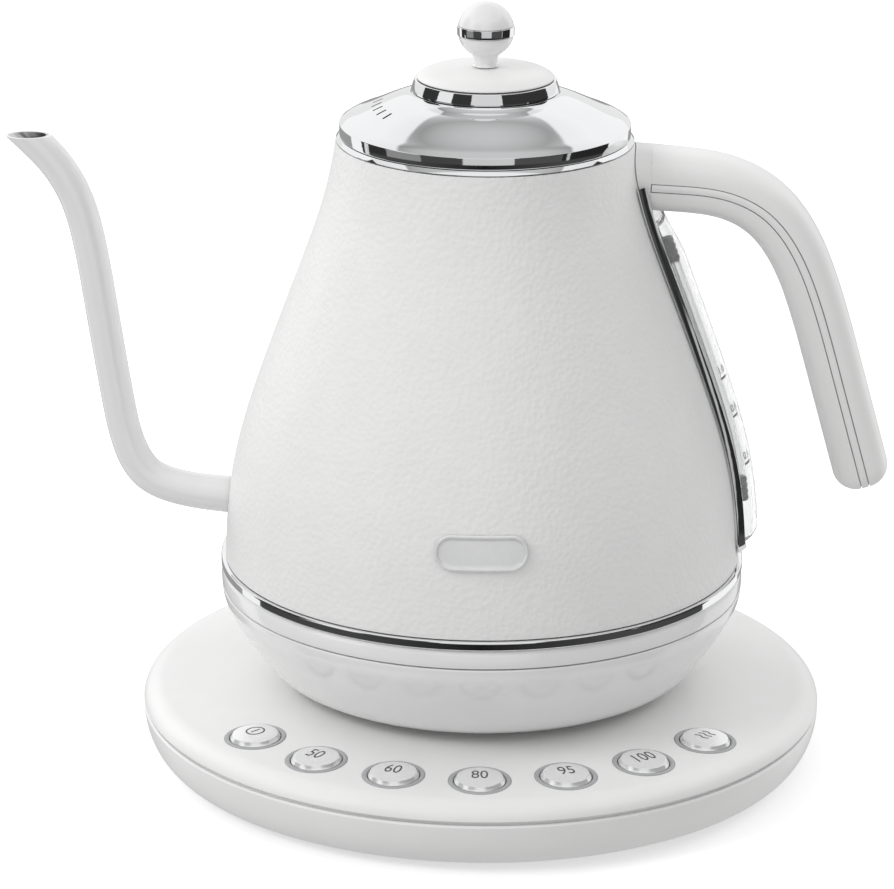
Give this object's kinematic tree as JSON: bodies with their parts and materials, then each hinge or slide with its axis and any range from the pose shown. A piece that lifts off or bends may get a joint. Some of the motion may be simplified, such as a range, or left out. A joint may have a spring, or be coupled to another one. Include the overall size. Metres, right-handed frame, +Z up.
{
  "type": "gooseneck kettle",
  "caption": "White electric gooseneck kettle with a chrome lid and ball knob, a thin curved spout, an open hooked handle and a round base with push buttons along its front edge.",
  "frame": {"origin": "on the common axis of base and kettle, at the flat underside of the base's bottom cover; the rubber feet reach 1.5 mm lower", "axes": "+Z up along the swivel axis; +X from the spout towards the handle; -Y towards the buttons"},
  "size_m": [0.2873, 0.2265, 0.2534],
  "materials": {
    "white_body": "fine leather-grain powder coat",
    "white_gloss": "gloss",
    "white_satin": "satin",
    "chrome": "polished",
    "steel": "brushed",
    "silver_button": "satin",
    "grey_ring": "frosted",
    "black_rubber": "matt",
    "clear_plastic": "clear",
    "black_plastic": "matt",
    "circuit_board": "solder mask",
    "brass": "polished"
  },
  "bodies": {
    "base": {"base_top_cover": "white_satin", "base_bottom_cover": "white_satin", "base_foot_1": "black_rubber", "base_foot_2": "black_rubber", "base_foot_3": "black_rubber", "base_foot_4": "black_rubber", "base_screw_1": "steel", "base_screw_2": "steel", "base_screw_3": "steel", "button_board": "circuit_board", "power_board": "circuit_board", "base_connector": "black_plastic", "cord_gland": "black_rubber", "button_light_ring_1": "grey_ring", "button_light_ring_2": "grey_ring", "button_light_ring_3": "grey_ring", "button_light_ring_4": "grey_ring", "button_light_ring_5": "grey_ring", "button_light_ring_6": "grey_ring", "button_light_ring_7": "grey_ring"},
    "centre_pin": {"base_centre_pin": "brass"},
    "kettle": {"body_shell": "white_body", "vessel": "steel", "neck_ring": "chrome", "chrome_band": "chrome", "skirt_ring": "white_gloss", "skirt_bowl": "white_gloss", "bottom_cover": "white_satin", "heater_plate": "steel", "heating_element": "steel", "kettle_connector": "black_plastic", "spout_tube": "white_gloss", "handle_outer_shell": "white_satin", "handle_inner_shell": "white_satin", "handle_strip_front": "white_satin", "handle_strip_back": "white_satin", "handle_bracket": "steel", "handle_screw_1": "steel", "handle_screw_2": "steel", "gauge_window": "clear_plastic", "gauge_frame": "chrome", "gauge_tube": "clear_plastic", "gauge_seal_lower": "black_rubber", "gauge_seal_upper": "black_rubber", "emblem_plate": "chrome"},
    "lid": {"lid_shell": "chrome", "lid_collar": "chrome", "lid_cap": "white_satin", "knob_lower": "white_gloss", "knob_band": "chrome", "knob_upper": "white_gloss", "lid_inner_cup": "steel", "lid_gasket": "black_rubber"},
    "button_1": {"button_cap_1": "silver_button"},
    "button_2": {"button_cap_2": "silver_button"},
    "button_3": {"button_cap_3": "silver_button"},
    "button_4": {"button_cap_4": "silver_button"},
    "button_5": {"button_cap_5": "silver_button"},
    "button_6": {"button_cap_6": "silver_button"},
    "button_7": {"button_cap_7": "silver_button"}
  },
  "joints": [
    {"name": "kettle_swivel", "type": "hinge", "parent": "base", "child": "centre_pin", "pos_m": [0, 0, 0.028], "axis": [0, 0, 1], "continuous": true},
    {"name": "kettle_lift", "type": "slide", "parent": "centre_pin", "child": "kettle", "axis": [0, 0, 1], "range_m": [0, 0.12]},
    {"name": "lid_lift", "type": "slide", "parent": "kettle", "child": "lid", "axis": [0, 0, 1], "range_m": [0, 0.06]},
    {"name": "button_1_press", "type": "slide", "parent": "base", "child": "button_1", "axis": [0.0401, 0.033, -0.9986], "range_m": [0, 0.0008], "stiffness_N_per_m": 600},
    {"name": "button_2_press", "type": "slide", "parent": "base", "child": "button_2", "axis": [0.0288, 0.0432, -0.9986], "range_m": [0, 0.0008], "stiffness_N_per_m": 600},
    {"name": "button_3_press", "type": "slide", "parent": "base", "child": "button_3", "axis": [0.0151, 0.0497, -0.9986], "range_m": [0, 0.0008], "stiffness_N_per_m": 600},
    {"name": "button_4_press", "type": "slide", "parent": "base", "child": "button_4", "axis": [0, 0.052, -0.9986], "range_m": [0, 0.0008], "stiffness_N_per_m": 600},
    {"name": "button_5_press", "type": "slide", "parent": "base", "child": "button_5", "axis": [-0.0151, 0.0497, -0.9986], "range_m": [0, 0.0008], "stiffness_N_per_m": 600},
    {"name": "button_6_press", "type": "slide", "parent": "base", "child": "button_6", "axis": [-0.0288, 0.0432, -0.9986], "range_m": [0, 0.0008], "stiffness_N_per_m": 600},
    {"name": "button_7_press", "type": "slide", "parent": "base", "child": "button_7", "axis": [-0.0401, 0.033, -0.9986], "range_m": [0, 0.0008], "stiffness_N_per_m": 600}
  ]
}
